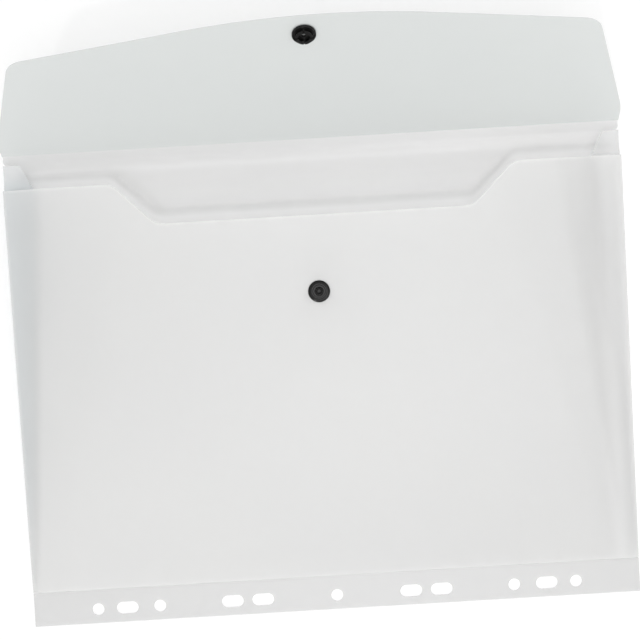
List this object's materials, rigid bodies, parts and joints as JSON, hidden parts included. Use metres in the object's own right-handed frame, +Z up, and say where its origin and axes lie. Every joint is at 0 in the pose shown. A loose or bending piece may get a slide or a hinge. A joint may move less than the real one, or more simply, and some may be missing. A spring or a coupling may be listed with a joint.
{
  "type": "document wallet",
  "caption": "Landscape document wallet of frosted film with folding sides, a press-stud flap and a punched filing strip.",
  "frame": {"origin": "centre of the middle ring hole in the filing strip, on the back's outer face", "axes": "the wallet lies on its back: +X along its width, +Y from the filing strip to the flap, +Z up from the table"},
  "size_m": [0.304, 0.2775, 0.0887],
  "materials": {
    "film": "frosted translucent polypropylene film",
    "snap_plastic": "moulded black plastic, semi-gloss"
  },
  "bodies": {
    "back": {"back_panel": "film", "binder_strip": "film"},
    "front": {"front_panel": "film", "front_stud": "snap_plastic", "stud_cap": "snap_plastic"},
    "left_rear_leaf": {"left_gusset_rear_leaf": "film"},
    "left_front_leaf": {"left_gusset_front_leaf": "film"},
    "right_rear_leaf": {"right_gusset_rear_leaf": "film"},
    "right_front_leaf": {"right_gusset_front_leaf": "film"},
    "spine": {"spine_panel": "film"},
    "flap": {"flap_panel": "film", "flap_socket": "snap_plastic", "socket_cap": "snap_plastic"}
  },
  "joints": [
    {"name": "pocket_opening", "type": "hinge", "parent": "back", "child": "front", "pos_m": [0, 0.01, 0.00055], "axis": [1, 0, 0], "range_deg": [-2.28, 0]},
    {"name": "spine_fold", "type": "hinge", "parent": "back", "child": "spine", "pos_m": [0, 0.2235, 0.00015], "axis": [1, 0, 0], "range_deg": [-58, 10]},
    {"name": "flap_fold", "type": "hinge", "parent": "spine", "child": "flap", "pos_m": [0, 0.22681, 0.01894], "axis": [1, 0, 0], "range_deg": [0, 112]},
    {"name": "left_rear_leaf_fold", "type": "hinge", "parent": "back", "child": "left_rear_leaf", "pos_m": [-0.1514, 0.01, 0.00055], "axis": [0, -1, 0], "range_deg": [-16, 0]},
    {"name": "left_inner_fold", "type": "hinge", "parent": "left_rear_leaf", "child": "left_front_leaf", "pos_m": [-0.1514, 0.01, 0.00055], "axis": [-0.0682, -0.9972, -0.0298], "range_deg": [0, 32.1]},
    {"name": "right_rear_leaf_fold", "type": "hinge", "parent": "back", "child": "right_rear_leaf", "pos_m": [0.1514, 0.01, 0.00055], "axis": [0, 1, 0], "range_deg": [-16, 0]},
    {"name": "right_inner_fold", "type": "hinge", "parent": "right_rear_leaf", "child": "right_front_leaf", "pos_m": [0.1514, 0.01, 0.00055], "axis": [-0.0682, 0.9972, 0.0298], "range_deg": [0, 32.1]}
  ],
  "couplings": [
    {"joint": "left_rear_leaf_fold", "follows": "pocket_opening", "ratio": 6.9828},
    {"joint": "left_inner_fold", "follows": "pocket_opening", "ratio": -13.998},
    {"joint": "right_rear_leaf_fold", "follows": "pocket_opening", "ratio": 6.9828},
    {"joint": "right_inner_fold", "follows": "pocket_opening", "ratio": -13.998}
  ]
}
